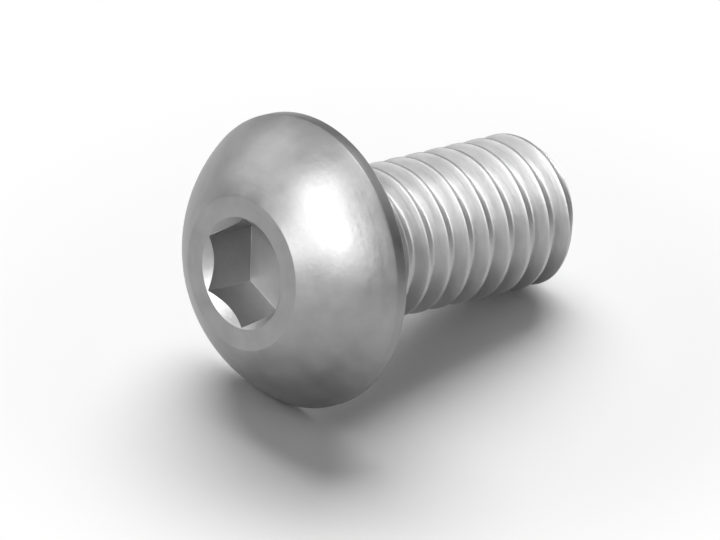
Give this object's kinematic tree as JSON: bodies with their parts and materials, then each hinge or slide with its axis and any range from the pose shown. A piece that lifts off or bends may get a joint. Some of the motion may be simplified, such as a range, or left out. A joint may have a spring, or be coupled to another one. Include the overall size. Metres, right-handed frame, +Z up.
{
  "type": "button head socket screw",
  "caption": "Machine screw with a domed button head, a hexagon socket in its flat crown and a fully threaded metric shank with a chamfered tip, lying on its side.",
  "frame": {"origin": "on the table, below the middle of the lying screw's bounding box", "axes": "+Z up; the screw's axis lies in the XZ plane, with the tip towards +X and dipping below it by 14.0 degrees, since the head's rim and the last threads touch the table"},
  "size_m": [0.0108, 0.0076, 0.0075],
  "materials": {
    "steel": "satin"
  },
  "bodies": {
    "root": {"screw": "steel"}
  },
  "joints": []
}
